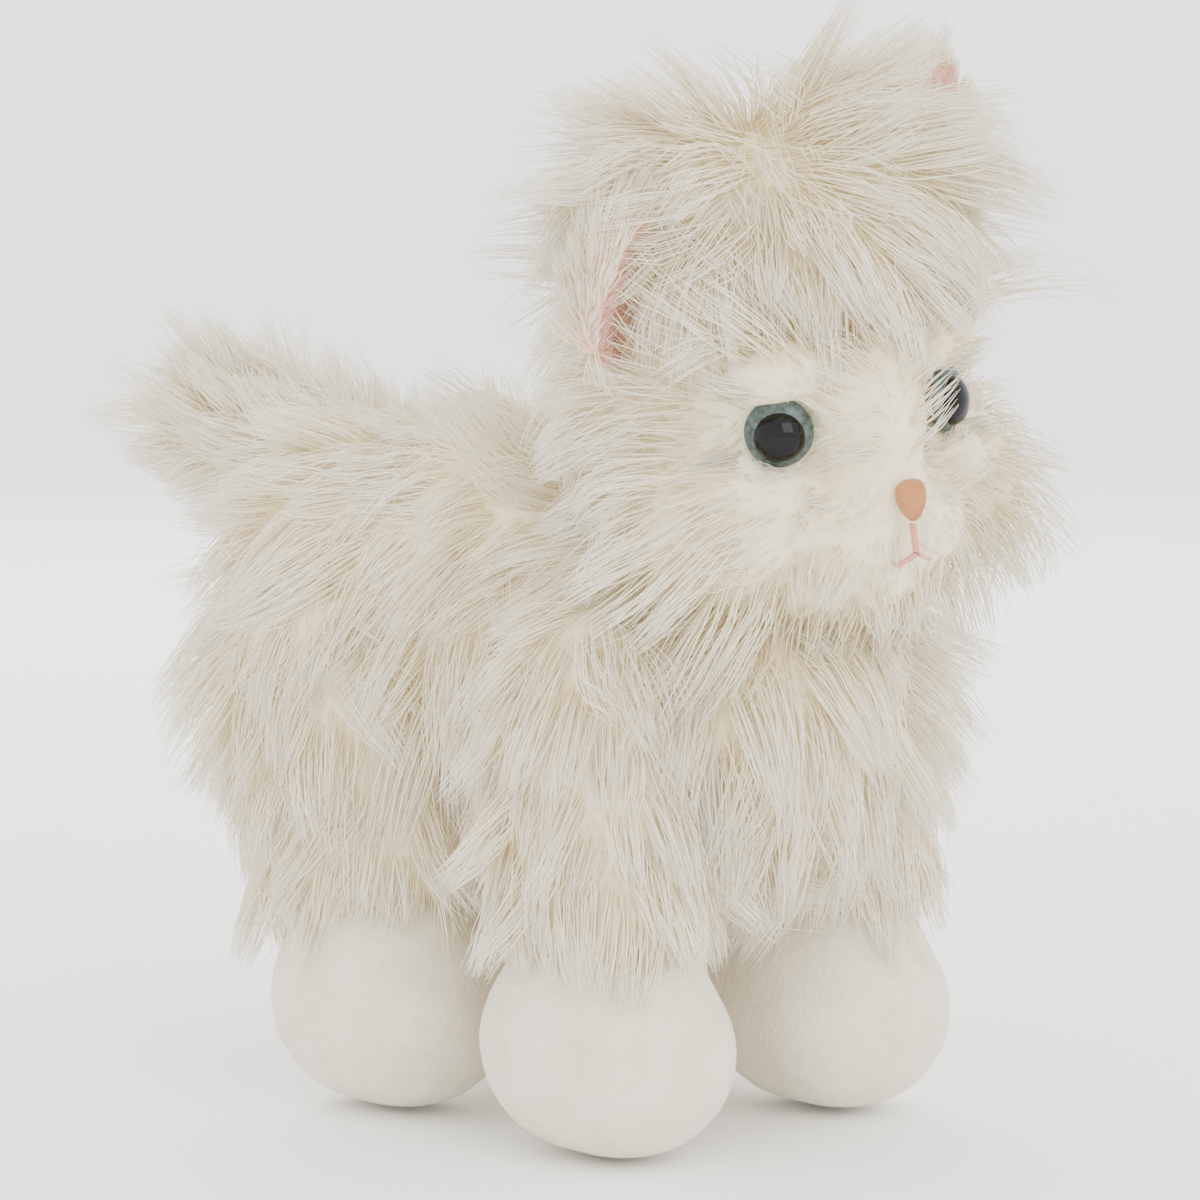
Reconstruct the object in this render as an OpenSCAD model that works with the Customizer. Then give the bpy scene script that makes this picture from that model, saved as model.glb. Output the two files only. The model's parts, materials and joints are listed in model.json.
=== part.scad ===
// Walking plush kitten: a furry cover over a two-part casing with a motor, gears,
// a crank, four swinging legs, a turning and nodding head and a wagging tail.
// It stands on the floor plane, faces -Y and has its right side at -X.

/* [Whole toy] */
// Distance between the front and rear hip axles
wheelbase = 68; // [64:1:84]
// Distance between the middles of the left and right paws
track = 56; // [54:1:68]
// Height of the hip axles above the floor
hip_z = 70; // [64:1:86]
// Fore and aft place of the middle of the wheelbase
mid_y = -6; // [-20:1:0]
// How far each leg swings either way
swing = 13; // [8:1:14]

/* [Body cover] */
// Radius of the furry trunk
trunk_r = 42; // [40:1:50]
// Trunk in front of the front axle
chest_len = 36; // [34:1:44]
// Trunk behind the rear axle
rump_len = 36; // [32:1:46]
// Clearance between a cover and a rigid piece inside it
cover_gap = 0.3; // [0.2:0.1:0.6]
// Radius of the round front shoulder
shoulder_r = 20; // [18:1:24]
// Radius of the round rear haunch
haunch_r = 26; // [22:1:29]
// Thickness of the shoulder and haunch pads
pad_t = 11; // [8:1:14]

/* [Legs and paws] */
// Radius of the furry leg sleeve
sleeve_r = 17.5; // [15:0.5:19]
// Radius of a stuffed paw
paw_r = 22.5; // [18:0.5:24]
// Straight length between the round ends of a paw
paw_straight = 7; // [3:1:9]
// How far a front paw sits ahead of its hip
front_step = 2; // [0:1:6]
// How far a rear paw sits ahead of its hip
rear_step = 14; // [10:1:16]
// Thickness of the plastic leg
leg_t = 4; // [3:0.5:5]
// Radius of the round end of the leg at the hip
leg_hip_r = 6; // [5:0.5:8]
// Length of the lever above the hip
lever_len = 14; // [13:1:17]

/* [Casing] */
// Width of the casing
casing_w = 48; // [46:1:54]
// Wall thickness of the casing
wall = 2; // [1.6:0.2:2.4]
// Rounding of the casing's edges
casing_corner = 6; // [3:1:8]
// Casing below the hip axles
casing_drop = 16; // [15:1:19]
// Height of the casing above the hip axles
casing_rise = 46; // [44:1:54]
// Radius of a casing screw's shank
screw_r = 1; // [0.8:0.1:1.3]

/* [Shafts and gears] */
// Radius of the hip axles and of the crankshaft
axle_r = 2; // [1.6:0.1:2.5]
// Running clearance round a shaft
run_gap = 0.06; // [0.03:0.01:0.09]
// Gear module
gear_m = 0.6; // [0.5:0.05:0.62]
// Teeth of the crank gear
crank_teeth = 40; // [36:1:40]
// Teeth of the large wheel of the middle gear
middle_teeth = 36; // [32:1:36]
// Teeth of the motor pinion and of the small wheel of the middle gear
pinion_teeth = 12; // [12:1:14]
// Throw of the crank pins
crank_throw = 3.2; // [3:0.1:3.6]
// Radius of the crank pins and the lever pins
pin_r = 1.4; // [1.2:0.1:1.6]
// Radius of the motor can
motor_r = 10; // [8:0.5:10]
// Length of the motor can
motor_len = 24; // [20:1:25]

/* [Battery bay] */
// Diameter of a cell
cell_d = 10.5; // [10:0.1:10.8]
// Length of a cell
cell_len = 44.5; // [43:0.5:45]
// Wall of the battery box
box_wall = 1.2; // [1:0.1:1.4]

/* [Head] */
// Radius of the furry head
head_r = 42; // [38:1:46]
// Height of the head's pivot above the hip axles
head_rise = 60; // [56:1:70]
// Distance from the front axle forward to the head's pivot
head_reach = 16; // [14:1:20]
// Turn of the head to its right when at rest
head_rest_turn = 12; // [0:1:20]
// How far the furry head leans to its right
head_tilt = 8; // [0:1:10]
// Radius of the plastic head shell
skull_r = 30; // [27:1:32]
// Clearance between the head and the trunk
neck_gap = 1.2; // [0.8:0.1:2]
// Radius of the muzzle
muzzle_r = 17; // [15:1:19]
// Radius of an eye
eye_r = 6; // [5:0.5:7]
// Angle of each eye from the middle of the face
eye_angle = 31; // [26:1:34]
// Radius of an ear
ear_r = 13; // [11:1:15]
// Height of the hair on the crown above the head's pivot
crown_h = 63; // [58:1:68]

/* [Tail] */
// Length of the tail from its pin
tail_len = 61; // [50:1:70]
// Radius of the furry tail
tail_r = 12; // [10:1:13]
// Upward slope of the tail
tail_slope = 12; // [5:1:20]

/* [Hidden] */
$fn = 64;

// Hips, head and trunk
post_r = 5;
front_hip_y = mid_y - wheelbase / 2;
rear_hip_y = mid_y + wheelbase / 2;
head_pos = [0, front_hip_y - head_reach, hip_z + head_rise];
trunk_z = hip_z + 18;
trunk_front_y = front_hip_y - chest_len;
trunk_rear_y = rear_hip_y + rump_len;

// Casing: a low front part under the head and a high rear part behind it
half_w = casing_w / 2;
barrel_r = half_w + 10;
casing_front_y = head_pos[1] - post_r - 3;
casing_rear_y = rear_hip_y + 16;
casing_bottom_z = hip_z - casing_drop;
casing_top_z = hip_z + casing_rise;
head_pocket_r = head_r + neck_gap;
neck_base_z = head_pos[2] - head_pocket_r - 2.8;
high_front_y = head_pos[1] + sqrt(pow(head_pocket_r, 2) - pow(head_pos[2] - casing_top_z, 2)) + 2;
boss_r = 3;
boss_spots = [
    [casing_front_y + 7, casing_bottom_z + 6],
    [casing_rear_y - 4, hip_z],
    [high_front_y + 5, casing_top_z - 5.5],
    [casing_rear_y - 6, casing_top_z - 5.5]
];
screw_head_r = 2 * screw_r;
screw_head_t = 1.2;

// Layers outside the casing wall, counted outwards along X
disc_x = half_w + 0.4;
disc_t = 2;
rod_x = disc_x + disc_t + 0.4;
rod_t = 2;
leg_x = rod_x + rod_t + 0.6;
pad_x = leg_x + leg_t + 2;
axle_end_x = leg_x + leg_t + 1.2;
belly_z = casing_bottom_z - 1.6;
sleeve_top_z = hip_z - 26;
paw_z = paw_r - 2;
pocket_x = half_w + cover_gap;

// Gear train in the right half of the casing
crank_y = high_front_y + wall + gear_m * (crank_teeth + 2) / 2 + 1;
crank_z = hip_z + lever_len;
crank_angle = 45;
motor_angle = 35;
stage_a_len = gear_m * (crank_teeth + pinion_teeth) / 2;
stage_b_len = gear_m * (middle_teeth + pinion_teeth) / 2;
middle_pos = [crank_y + stage_a_len * cos(crank_angle), crank_z + stage_a_len * sin(crank_angle)];
motor_pos = [middle_pos[0] + stage_b_len * cos(motor_angle),
    middle_pos[1] + stage_b_len * sin(motor_angle)];
plate_x = -13.9;
plate_t = 1.2;
gear_b_x = -16.9;
gear_a_x = -20.3;
gear_t = 2.6;
pressure = 25;
backlash = 0.84;
gear_shaft_r = 1;
rod_half_h = 3.6;
slot_gap = 0.75;

// Battery bay
pack_w = 2 * cell_d + 1 + 2 * box_wall;
pack_len = cell_len + 5 + 2 * box_wall;
door_t = 2;
pack_bottom_z = casing_bottom_z + door_t + 0.2;
pack_h = 2 * cell_d + 1 + box_wall;
cell_y = mid_y - cell_len / 2;
door_w = pack_w + 1;
door_len = pack_len + 2;
bay_gap = 0.25;

// Switch, button, board and speaker
switch_y = mid_y + door_len / 2 + 8;
slider_w = 5;
slider_len = 4;
slider_travel = 4;
button_y = mid_y + 12;
button_r = 7;
button_h = 7;
button_travel = 1.5;
board_x = 16.5;
board_t = 1.2;
board_y = [mid_y + 12, casing_rear_y - 11];
board_z = [hip_z + 16, casing_top_z - 5];
speaker_r = 12.5;
speaker_z = hip_z + 21;

// Head
spigot_r = 3;
hub_r = 6;
cross_pin_r = 2;
cross_pin_half = 12;
skull_wall = 2;
skull_split_y = -7;
neck_hole_r = 18;
muzzle_pos = [0, -34, -13];
eye_lift = 2;
eye_seat = head_r - 4;
shank_r = 1.8;
nose_r = 3.4;
ear_pos = [-31.5, 1, 33];
ear_t = 6;
ear_turn = -30;
ear_tilt = 20;
lining_r = ear_r - 4;
lining_t = 1.4;
crown_base_z = 22;
crown_top_r = 20;

// Tail
tail_pos = [0, casing_rear_y + 5, casing_top_z - 4];
tail_eye_r = 4;

// Involute angle in degrees at a pressure angle in degrees
function inv_deg(a) = tan(a) * 180 / PI - a;
// Half of a tooth's angle at radius r
function tooth_half(r, pitch_r, teeth) =
    90 / teeth * backlash + inv_deg(pressure)
    - inv_deg(acos(min(1, pitch_r * cos(pressure) / r)));
// Point at a radius and an angle
function polar(r, a) = [r * cos(a), r * sin(a)];

// Local x, y and z become Y, Z and X
module along_x(x = 0) {
    translate([x, 0, 0]) rotate([90, 0, 90]) children();
}

// Copy on the left side of what stands on the right
module left_side(on = true) {
    if (on) mirror([1, 0, 0]) children();
    else children();
}

// Rod along X between two places
module x_rod(x1, x2, y, z, r) {
    translate([x1, y, z]) rotate([0, 90, 0]) cylinder(r = r, h = x2 - x1);
}

// Rod along Y between two places
module y_rod(x, y1, y2, z, r) {
    translate([x, y1, z]) rotate([-90, 0, 0]) cylinder(r = r, h = y2 - y1);
}

// Box from its lowest and highest corners
module block(low, high) {
    translate(low) cube(high - low);
}

// Rectangle with round corners, pulled in by inset
module round_rect(y1, y2, z1, z2, r, inset = 0) {
    c = max(r - inset, 0.5);
    translate([y1 + inset + c, z1 + inset]) square([y2 - y1 - 2 * inset - 2 * c, z2 - z1 - 2 * inset]);
    translate([y1 + inset, z1 + inset + c]) square([y2 - y1 - 2 * inset, z2 - z1 - 2 * inset - 2 * c]);
    for (y = [y1 + inset + c, y2 - inset - c], z = [z1 + inset + c, z2 - inset - c])
        translate([y, z]) circle(r = c);
}

// Toothed wheel with involute flanks, a tooth pointing at angle turn
module gear_shape(teeth, turn) {
    pitch_r = gear_m * teeth / 2;
    root_r = pitch_r - 1.2 * gear_m;
    tip_r = pitch_r + 0.8 * gear_m;
    base_r = max(root_r, pitch_r * cos(pressure));
    flank = [root_r, base_r, (base_r + tip_r) / 2, tip_r];
    polygon([
        for (i = [0 : teeth - 1])
            for (k = [0 : 7])
                let (r = k < 4 ? flank[k] : flank[7 - k], s = k < 4 ? -1 : 1)
                    polar(r, turn + i * 360 / teeth + s * tooth_half(max(r, base_r), pitch_r, teeth))
    ]);
}

module wheel(pos, x, teeth, turn, bore_r) {
    translate([0, pos[0], pos[1]]) along_x(x) linear_extrude(gear_t) difference() {
        gear_shape(teeth, turn);
        circle(r = bore_r);
    }
}

// Bar with round ends in the Y and Z plane
module link(p, q, rp, rq, t) {
    linear_extrude(t) hull() {
        translate(p) circle(r = rp, $fn = 32);
        translate(q) circle(r = rq, $fn = 32);
    }
}

// ---------- trunk and casing ----------

module trunk_form() {
    mid = (trunk_front_y + trunk_rear_y) / 2;
    half = (trunk_rear_y - trunk_front_y) / 2;
    translate([0, mid, trunk_z]) rotate([90, 0, 0]) rotate_extrude() polygon(concat(
        [[0, -half]],
        [for (a = [-80 : 10 : 80]) [trunk_r * pow(cos(a), 0.45), half * sin(a)]],
        [[0, half]]
    ));
}

// The trunk with its chest and rump filled out round the ends of the casing
module trunk_solid() {
    trunk_form();
    for (y = [casing_front_y + 22, casing_rear_y - 22])
        translate([0, y, belly_z]) cylinder(r = barrel_r, h = trunk_z - belly_z);
}

module casing_outline(inset = 0) {
    round_rect(casing_front_y, casing_rear_y, casing_bottom_z, neck_base_z, casing_corner, inset);
    round_rect(high_front_y, casing_rear_y, casing_bottom_z, casing_top_z, casing_corner, inset);
}

module body_cover() color("ivory") difference() {
    trunk_solid();
    translate([0, head_pos[1], head_pos[2]]) sphere(r = head_pocket_r);
    translate([0, head_pos[1], neck_base_z - 1]) cylinder(r = post_r + 5, h = 8);
    translate([-pocket_x, 0, 0]) along_x() linear_extrude(2 * pocket_x) casing_outline(-cover_gap);
    block([-trunk_r - 1, trunk_front_y - 9, 0], [trunk_r + 1, trunk_rear_y + 1, belly_z]);
    block([-door_w / 2 - 2, mid_y - door_len / 2 - 2, 0],
        [door_w / 2 + 2, switch_y + slider_travel + 6, casing_bottom_z + 1]);
    for (s = [false, true]) left_side(s) {
        x_rod(-trunk_r - 1, -pocket_x + 1, front_hip_y, hip_z, shoulder_r + 1.2);
        x_rod(-trunk_r - 1, -pocket_x + 1, rear_hip_y, hip_z, haunch_r + 4);
        block([-leg_x - leg_t - 1, front_hip_y, crank_z - 6], [-pocket_x + 1, rear_hip_y, crank_z + 6]);
        x_rod(-leg_x - 1, -pocket_x + 1, crank_y, crank_z, crank_throw + pin_r + 4.4);
    }
    translate([0, button_y, casing_top_z - 1]) cylinder(r = button_r + 1, h = button_h + 3);
    block([-tail_r - 12, tail_pos[1] - 6, tail_pos[2] - tail_r - 6],
        [tail_r + 12, trunk_rear_y + 1, trunk_z + trunk_r + 1]);
    x_rod(-half_w - screw_head_t - 2, half_w, boss_spots[0][0], boss_spots[0][1], screw_head_r + 0.5);
}

module casing_form() {
    difference() {
        along_x(-half_w) linear_extrude(half_w) casing_outline();
        along_x(-half_w + wall) linear_extrude(half_w) casing_outline(wall);
    }
    for (s = boss_spots) x_rod(-half_w + wall - 0.5, 0, s[0], s[1], boss_r);
}

module casing_openings() {
    for (y = [front_hip_y, rear_hip_y]) x_rod(-half_w - 1, 1, y, hip_z, axle_r + run_gap);
    x_rod(-half_w - 1, 1, crank_y, crank_z, axle_r + run_gap);
    block([-door_w / 2 - bay_gap, mid_y - door_len / 2 - bay_gap, casing_bottom_z - 1],
        [1, mid_y + door_len / 2 + bay_gap, casing_bottom_z + wall + 1]);
    block([-slider_w / 2 - bay_gap, switch_y - bay_gap, casing_bottom_z - 1],
        [1, switch_y + slider_len + slider_travel + bay_gap, casing_bottom_z + wall + 1]);
    translate([0, button_y, casing_top_z - wall - 1]) cylinder(r = 2.4, h = wall + 2);
    for (a = [0 : 60 : 300], r = [4, 8])
        y_rod(r * cos(a), casing_rear_y - wall - 1, casing_rear_y + 1, speaker_z + r * sin(a), 0.9);
}

module casing_right() color("gainsboro") difference() {
    casing_form();
    casing_openings();
    for (s = boss_spots) {
        x_rod(-half_w - 1, 1, s[0], s[1], screw_r + 0.15);
        x_rod(-half_w - 1, -half_w + screw_head_t, s[0], s[1], screw_head_r + 0.2);
    }
}

module casing_left() color("gainsboro") difference() {
    left_side() casing_form();
    left_side() casing_openings();
    for (s = boss_spots) x_rod(-1, half_w - 4, s[0], s[1], screw_r + 0.02);
}

module casing_screws() color("silver")
    for (s = boss_spots) {
        x_rod(-half_w + screw_head_t - 0.1, half_w - 6, s[0], s[1], screw_r);
        x_rod(-half_w + 0.05, -half_w + screw_head_t, s[0], s[1], screw_head_r);
    }

// ---------- gearbox ----------

module gearbox_plate() color("white") difference() {
    union() {
        along_x(plate_x) linear_extrude(plate_t) hull() {
            translate([crank_y, crank_z]) circle(r = 4, $fn = 32);
            translate([middle_pos[0], middle_pos[1]]) circle(r = 4, $fn = 32);
            translate([motor_pos[0] + motor_r - 4, motor_pos[1]]) circle(r = 4, $fn = 32);
        }
        x_rod(-half_w + wall, plate_x, motor_pos[0] + motor_r - 2, motor_pos[1], 1.6);
    }
    x_rod(plate_x - 1, plate_x + plate_t + 1, crank_y, crank_z, axle_r + run_gap);
    x_rod(plate_x - 1, plate_x + plate_t + 1, middle_pos[0], middle_pos[1], gear_shaft_r);
    x_rod(plate_x - 1, plate_x + plate_t + 1, motor_pos[0], motor_pos[1], 3.2);
}

module gear_axle() color("silver")
    x_rod(-half_w + wall, plate_x + plate_t, middle_pos[0], middle_pos[1], gear_shaft_r);

module motor() color("silver") {
    x_rod(plate_x + plate_t, plate_x + plate_t + motor_len, motor_pos[0], motor_pos[1], motor_r);
    x_rod(plate_x + plate_t - 1.6, plate_x + plate_t, motor_pos[0], motor_pos[1], 3);
}

module motor_pinion() color("khaki") {
    wheel(motor_pos, gear_a_x, pinion_teeth, motor_angle + 180 + 180 / pinion_teeth, gear_shaft_r);
    x_rod(gear_a_x, plate_x - 0.8, motor_pos[0], motor_pos[1], gear_shaft_r);
}

module middle_gear() color("white") {
    wheel(middle_pos, gear_a_x, middle_teeth, motor_angle, gear_shaft_r + run_gap);
    wheel(middle_pos, gear_a_x + gear_t, pinion_teeth, crank_angle + 180 + 180 / pinion_teeth,
        gear_shaft_r + run_gap);
    wheel(middle_pos, gear_b_x + 0.4, pinion_teeth, crank_angle + 180 + 180 / pinion_teeth,
        gear_shaft_r + run_gap);
}

module crank_gear() color("white") wheel([crank_y, crank_z], gear_b_x, crank_teeth, crank_angle, axle_r);

module crankshaft() color("silver") {
    x_rod(-disc_x, disc_x, crank_y, crank_z, axle_r);
    for (s = [-1, 1]) {
        x_low = s < 0 ? -disc_x - disc_t : disc_x;
        x_rod(x_low, x_low + disc_t, crank_y, crank_z, crank_throw + pin_r + 1.4);
        pin_low = s < 0 ? -rod_x - rod_t : disc_x + disc_t;
        x_rod(pin_low, pin_low + rod_t + 0.4, crank_y, crank_z + s * crank_throw, pin_r);
    }
}

// Bar that the crank pin slides forward and back; upright slots hold the three pins
module side_rod(side) color("white") difference() {
    x_in = side < 0 ? -rod_x - rod_t : rod_x;
    along_x(x_in) linear_extrude(rod_t)
        round_rect(front_hip_y - pin_r - 3.5, rear_hip_y + pin_r + 3.5,
            crank_z - rod_half_h - 2.4, crank_z + rod_half_h + 2.4, 3);
    for (y = [front_hip_y, rear_hip_y]) block(
        [x_in - 1, y - pin_r - 0.2, crank_z - pin_r - 1],
        [x_in + rod_t + 1, y + pin_r + 0.2, crank_z + pin_r + 1]);
    block([x_in - 1, crank_y - pin_r - slot_gap, crank_z - crank_throw - pin_r - 0.5],
        [x_in + rod_t + 1, crank_y + pin_r + slot_gap, crank_z + crank_throw + pin_r + 0.5]);
}

module side_rod_right() side_rod(-1);
module side_rod_left() side_rod(1);

module hip_axle(y) color("silver") {
    x_rod(-axle_end_x, axle_end_x, y, hip_z, axle_r);
    for (x = [-axle_end_x, axle_end_x - 0.8]) x_rod(x, x + 0.8, y, hip_z, axle_r + 1.2);
}

module front_axle() hip_axle(front_hip_y);
module rear_axle() hip_axle(rear_hip_y);

// ---------- battery bay, switch, button, electronics ----------

module battery_box() color("dimgray") difference() {
    block([-pack_w / 2, mid_y - pack_len / 2, pack_bottom_z],
        [pack_w / 2, mid_y + pack_len / 2, pack_bottom_z + pack_h]);
    block([-pack_w / 2 + box_wall, mid_y - pack_len / 2 + box_wall, pack_bottom_z - 1],
        [pack_w / 2 - box_wall, mid_y + pack_len / 2 - box_wall, pack_bottom_z + pack_h - box_wall]);
}

module battery_cells() color("steelblue")
    for (x = [-1, 1], row = [0, 1]) {
        cx = x * (cell_d / 2 + 0.2);
        cz = pack_bottom_z + 0.3 + cell_d / 2 + row * (cell_d + 0.2);
        y_rod(cx, cell_y, cell_y + cell_len, cz, cell_d / 2);
    }

module battery_contacts() color("silver")
    for (x = [-1, 1], row = [0, 1]) {
        cx = x * (cell_d / 2 + 0.2);
        cz = pack_bottom_z + 0.3 + cell_d / 2 + row * (cell_d + 0.2);
        y_rod(cx, cell_y + cell_len, mid_y + pack_len / 2 - box_wall, cz, 2);
        y_rod(cx, mid_y - pack_len / 2 + box_wall, cell_y, cz, 3);
    }

module battery_door() color("gainsboro") difference() {
    block([-door_w / 2, mid_y - door_len / 2, casing_bottom_z],
        [door_w / 2, mid_y + door_len / 2, casing_bottom_z + door_t]);
    translate([0, mid_y + door_len / 2 - 4, casing_bottom_z - 1])
        cylinder(r = screw_r + 0.05, h = door_t + 2);
    translate([0, mid_y + door_len / 2 - 4, casing_bottom_z - 1]) cylinder(r = screw_head_r + 0.1, h = 1.8);
    for (i = [0 : 3])
        block([-6, mid_y - door_len / 2 + 3 + 2.4 * i, casing_bottom_z - 1],
            [6, mid_y - door_len / 2 + 4 + 2.4 * i, casing_bottom_z + 0.6]);
}

module door_screw() color("silver") translate([0, mid_y + door_len / 2 - 4, casing_bottom_z]) difference() {
    union() {
        cylinder(r = screw_head_r, h = 0.8);
        cylinder(r = screw_r, h = door_t);
    }
    block([-1.6, -0.3, -1], [1.6, 0.3, 0.4]);
    block([-0.3, -1.6, -1], [0.3, 1.6, 0.4]);
}

module circuit_board() color("darkgreen")
    block([board_x, board_y[0], board_z[0]], [board_x + board_t, board_y[1], board_z[1]]);

module board_parts() color("black") {
    x = board_x + board_t;
    block([x, board_y[0] + 4, board_z[0] + 4], [x + 1.2, board_y[0] + 12, board_z[0] + 14]);
    for (i = [0 : 2]) x_rod(x, x + 3.4, board_y[0] + 16, board_z[0] + 5 + 6 * i, 2);
}

module speaker() color("dimgray") difference() {
    y_rod(0, casing_rear_y - wall - 4, casing_rear_y - wall, speaker_z, speaker_r);
    y_rod(0, casing_rear_y - wall - 1, casing_rear_y - wall + 1, speaker_z, speaker_r - 2);
}

module speaker_magnet() color("silver")
    y_rod(0, casing_rear_y - wall - 7, casing_rear_y - wall - 4, speaker_z, 6);

module switch_housing() color("black") {
    z = casing_bottom_z + wall + 2.4;
    block([-slider_w / 2 - 1, switch_y - 1.5, z],
        [slider_w / 2 + 1, switch_y + slider_len + slider_travel + 1.5, z + 4]);
}

module power_slider() color("dimgray") {
    z = casing_bottom_z;
    block([-slider_w / 2, switch_y, z + 0.4], [slider_w / 2, switch_y + slider_len, z + wall + 2]);
    for (i = [0 : 2])
        block([-slider_w / 2 + 0.4, switch_y + 0.5 + 1.2 * i, z - 0.4],
            [slider_w / 2 - 0.4, switch_y + 1.1 + 1.2 * i, z + 0.4]);
}

module touch_housing() color("dimgray") translate([0, button_y, casing_top_z]) difference() {
    cylinder(r = button_r - 1, h = 3);
    translate([0, 0, -1]) cylinder(r = button_r - 2.2, h = 5);
}

module touch_button() color("white") translate([0, button_y, casing_top_z]) {
    translate([0, 0, 3.3 + button_travel]) cylinder(r = button_r, h = button_h - 3.3 - button_travel);
    translate([0, 0, 0.4 - wall]) cylinder(r = 2.3, h = wall + 2.9 + button_travel);
}

module touch_spring() color("silver") translate([0, button_y, casing_top_z])
    for (i = [0 : 3]) translate([0, 0, 0.3 + 0.85 * i])
        rotate_extrude() translate([3.5, 0]) circle(r = 0.3, $fn = 16);

// Two leads from the battery box to the board, as straight runs with round corners
module battery_leads() color("crimson") for (y = [14, 17]) {
    z1 = pack_bottom_z + pack_h + 0.6;
    x_rod(2, board_x - 1.4, mid_y + y, z1, 0.6);
    translate([board_x - 1.4, mid_y + y, z1]) sphere(r = 0.6);
    translate([board_x - 1.4, mid_y + y, z1]) cylinder(r = 0.6, h = board_z[0] + 3 - z1);
    translate([board_x - 1.4, mid_y + y, board_z[0] + 3]) sphere(r = 0.6);
    x_rod(board_x - 1.4, board_x, mid_y + y, board_z[0] + 3, 0.6);
}

// ---------- legs, all drawn on the right side ----------

// Leg facts as [hip y, paw centre y, radius of the pad on the hip]
front_leg = [front_hip_y, front_hip_y - front_step, shoulder_r];
rear_leg = [rear_hip_y, rear_hip_y - rear_step, haunch_r];

module leg_form(leg, gap = 0) {
    x = -leg_x - leg_t;
    along_x(x - gap) link([leg[0], hip_z], [leg[1], paw_z - 4], leg_hip_r + gap, 5 + gap, leg_t + 2 * gap);
    along_x(x - gap) link([leg[0], hip_z], [leg[0], crank_z], leg_hip_r + gap, 3.6 + gap, leg_t + 2 * gap);
    block([-track / 2 - 11 - gap, leg[1] - 13 - gap, paw_z - 10 - gap],
        [-track / 2 + 11 + gap, leg[1] + 13 + gap, paw_z - 6.5 + gap]);
}

module leg_core(leg) color("white") {
    difference() {
        leg_form(leg);
        x_rod(-leg_x - leg_t - 1, -leg_x + 1, leg[0], hip_z, axle_r + run_gap);
    }
    x_rod(-leg_x, -rod_x, leg[0], crank_z, pin_r);
}

module paw_form(leg, extra = 0) {
    y1 = leg[1] - paw_straight / 2;
    y2 = leg[1] + paw_straight / 2;
    for (y = [y1, y2]) translate([-track / 2, y, paw_z]) sphere(r = paw_r + extra);
    y_rod(-track / 2, y1, y2, paw_z, paw_r + extra);
}

module paw(leg) color("ivory") difference() {
    paw_form(leg);
    leg_form(leg, cover_gap);
    block([-track, leg[1] - 40, -paw_r], [0, leg[1] + 40, 0]);
}

module sleeve(leg) color("white") difference() {
    sleeve_y = (leg[0] + 2 * leg[1]) / 3;
    top = hip_z - leg[2] / 3;
    union() {
        x_rod(-pad_x - pad_t, -pad_x, leg[0], hip_z, leg[2]);
        translate([-track / 2, sleeve_y, paw_z + 8]) cylinder(r = sleeve_r, h = sleeve_top_z - paw_z - 8);
        difference() {
            translate([-track / 2, sleeve_y, sleeve_top_z - 0.1])
                cylinder(r = sleeve_r, h = top - sleeve_top_z);
            block([-pad_x, leg[0] - 60, 0], [0, leg[0] + 60, hip_z + 60]);
        }
    }
    leg_form(leg, cover_gap);
    paw_form(leg, 0.1);
}

module leg_front_right() leg_core(front_leg);
module leg_front_left() left_side() leg_core(front_leg);
module leg_rear_right() leg_core(rear_leg);
module leg_rear_left() left_side() leg_core(rear_leg);
module sleeve_front_right() sleeve(front_leg);
module sleeve_front_left() left_side() sleeve(front_leg);
module sleeve_rear_right() sleeve(rear_leg);
module sleeve_rear_left() left_side() sleeve(rear_leg);
module paw_front_right() paw(front_leg);
module paw_front_left() left_side() paw(front_leg);
module paw_rear_right() paw(rear_leg);
module paw_rear_left() left_side() paw(rear_leg);

// ---------- head, drawn about its pivot and facing -Y ----------

module in_head() translate(head_pos) rotate([0, 0, -head_rest_turn]) children();

// The furry cover and all that is on it lean to one side of the skull
module lean() rotate([0, -head_tilt, 0]) children();

module neck_post() color("gainsboro") translate([0, head_pos[1], 0]) {
    top = head_pos[2] - hub_r - 6;
    translate([0, 0, neck_base_z]) cylinder(r = post_r + 2, h = 1.6);
    translate([0, 0, neck_base_z]) cylinder(r = post_r, h = top - neck_base_z);
    translate([0, 0, top]) cylinder(r = spigot_r, h = 7);
}

module neck_swivel() color("dimgray") in_head() difference() {
    union() {
        translate([0, 0, -hub_r - 5.8]) cylinder(r = hub_r, h = 2 * hub_r + 5);
        x_rod(-cross_pin_half, cross_pin_half, 0, 0, cross_pin_r);
    }
    translate([0, 0, -hub_r - 7]) cylinder(r = spigot_r + run_gap, h = 9);
}

module skull_form() difference() {
    union() {
        difference() {
            sphere(r = skull_r);
            sphere(r = skull_r - skull_wall);
        }
        for (s = [false, true]) left_side(s) x_rod(-skull_r + skull_wall / 2, -hub_r - 2, 0, 0, 5);
    }
    for (s = [false, true]) left_side(s) x_rod(-cross_pin_half - 0.5, 0, 0, 0, cross_pin_r + run_gap);
    translate([0, 0, -skull_r - 1]) cylinder(r = neck_hole_r - 3, h = skull_wall + 12);
}

module skull_back() color("gainsboro") in_head() difference() {
    skull_form();
    block([-skull_r - 1, -skull_r - 1, -skull_r - 1], [skull_r + 1, skull_split_y, skull_r + 1]);
}

module eye_axis() for (s = [-1, 1]) rotate([0, 0, s * eye_angle]) translate([0, 0, eye_lift]) children();

module skull_front() color("gainsboro") in_head() difference() {
    skull_form();
    block([-skull_r - 1, skull_split_y, -skull_r - 1], [skull_r + 1, skull_r + 1, skull_r + 1]);
    lean() eye_axis() y_rod(0, -skull_r - 2, -skull_r + skull_wall + 3, 0, shank_r + run_gap);
}

module muzzle_form(extra = 0) translate(muzzle_pos) sphere(r = muzzle_r + extra);

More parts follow.
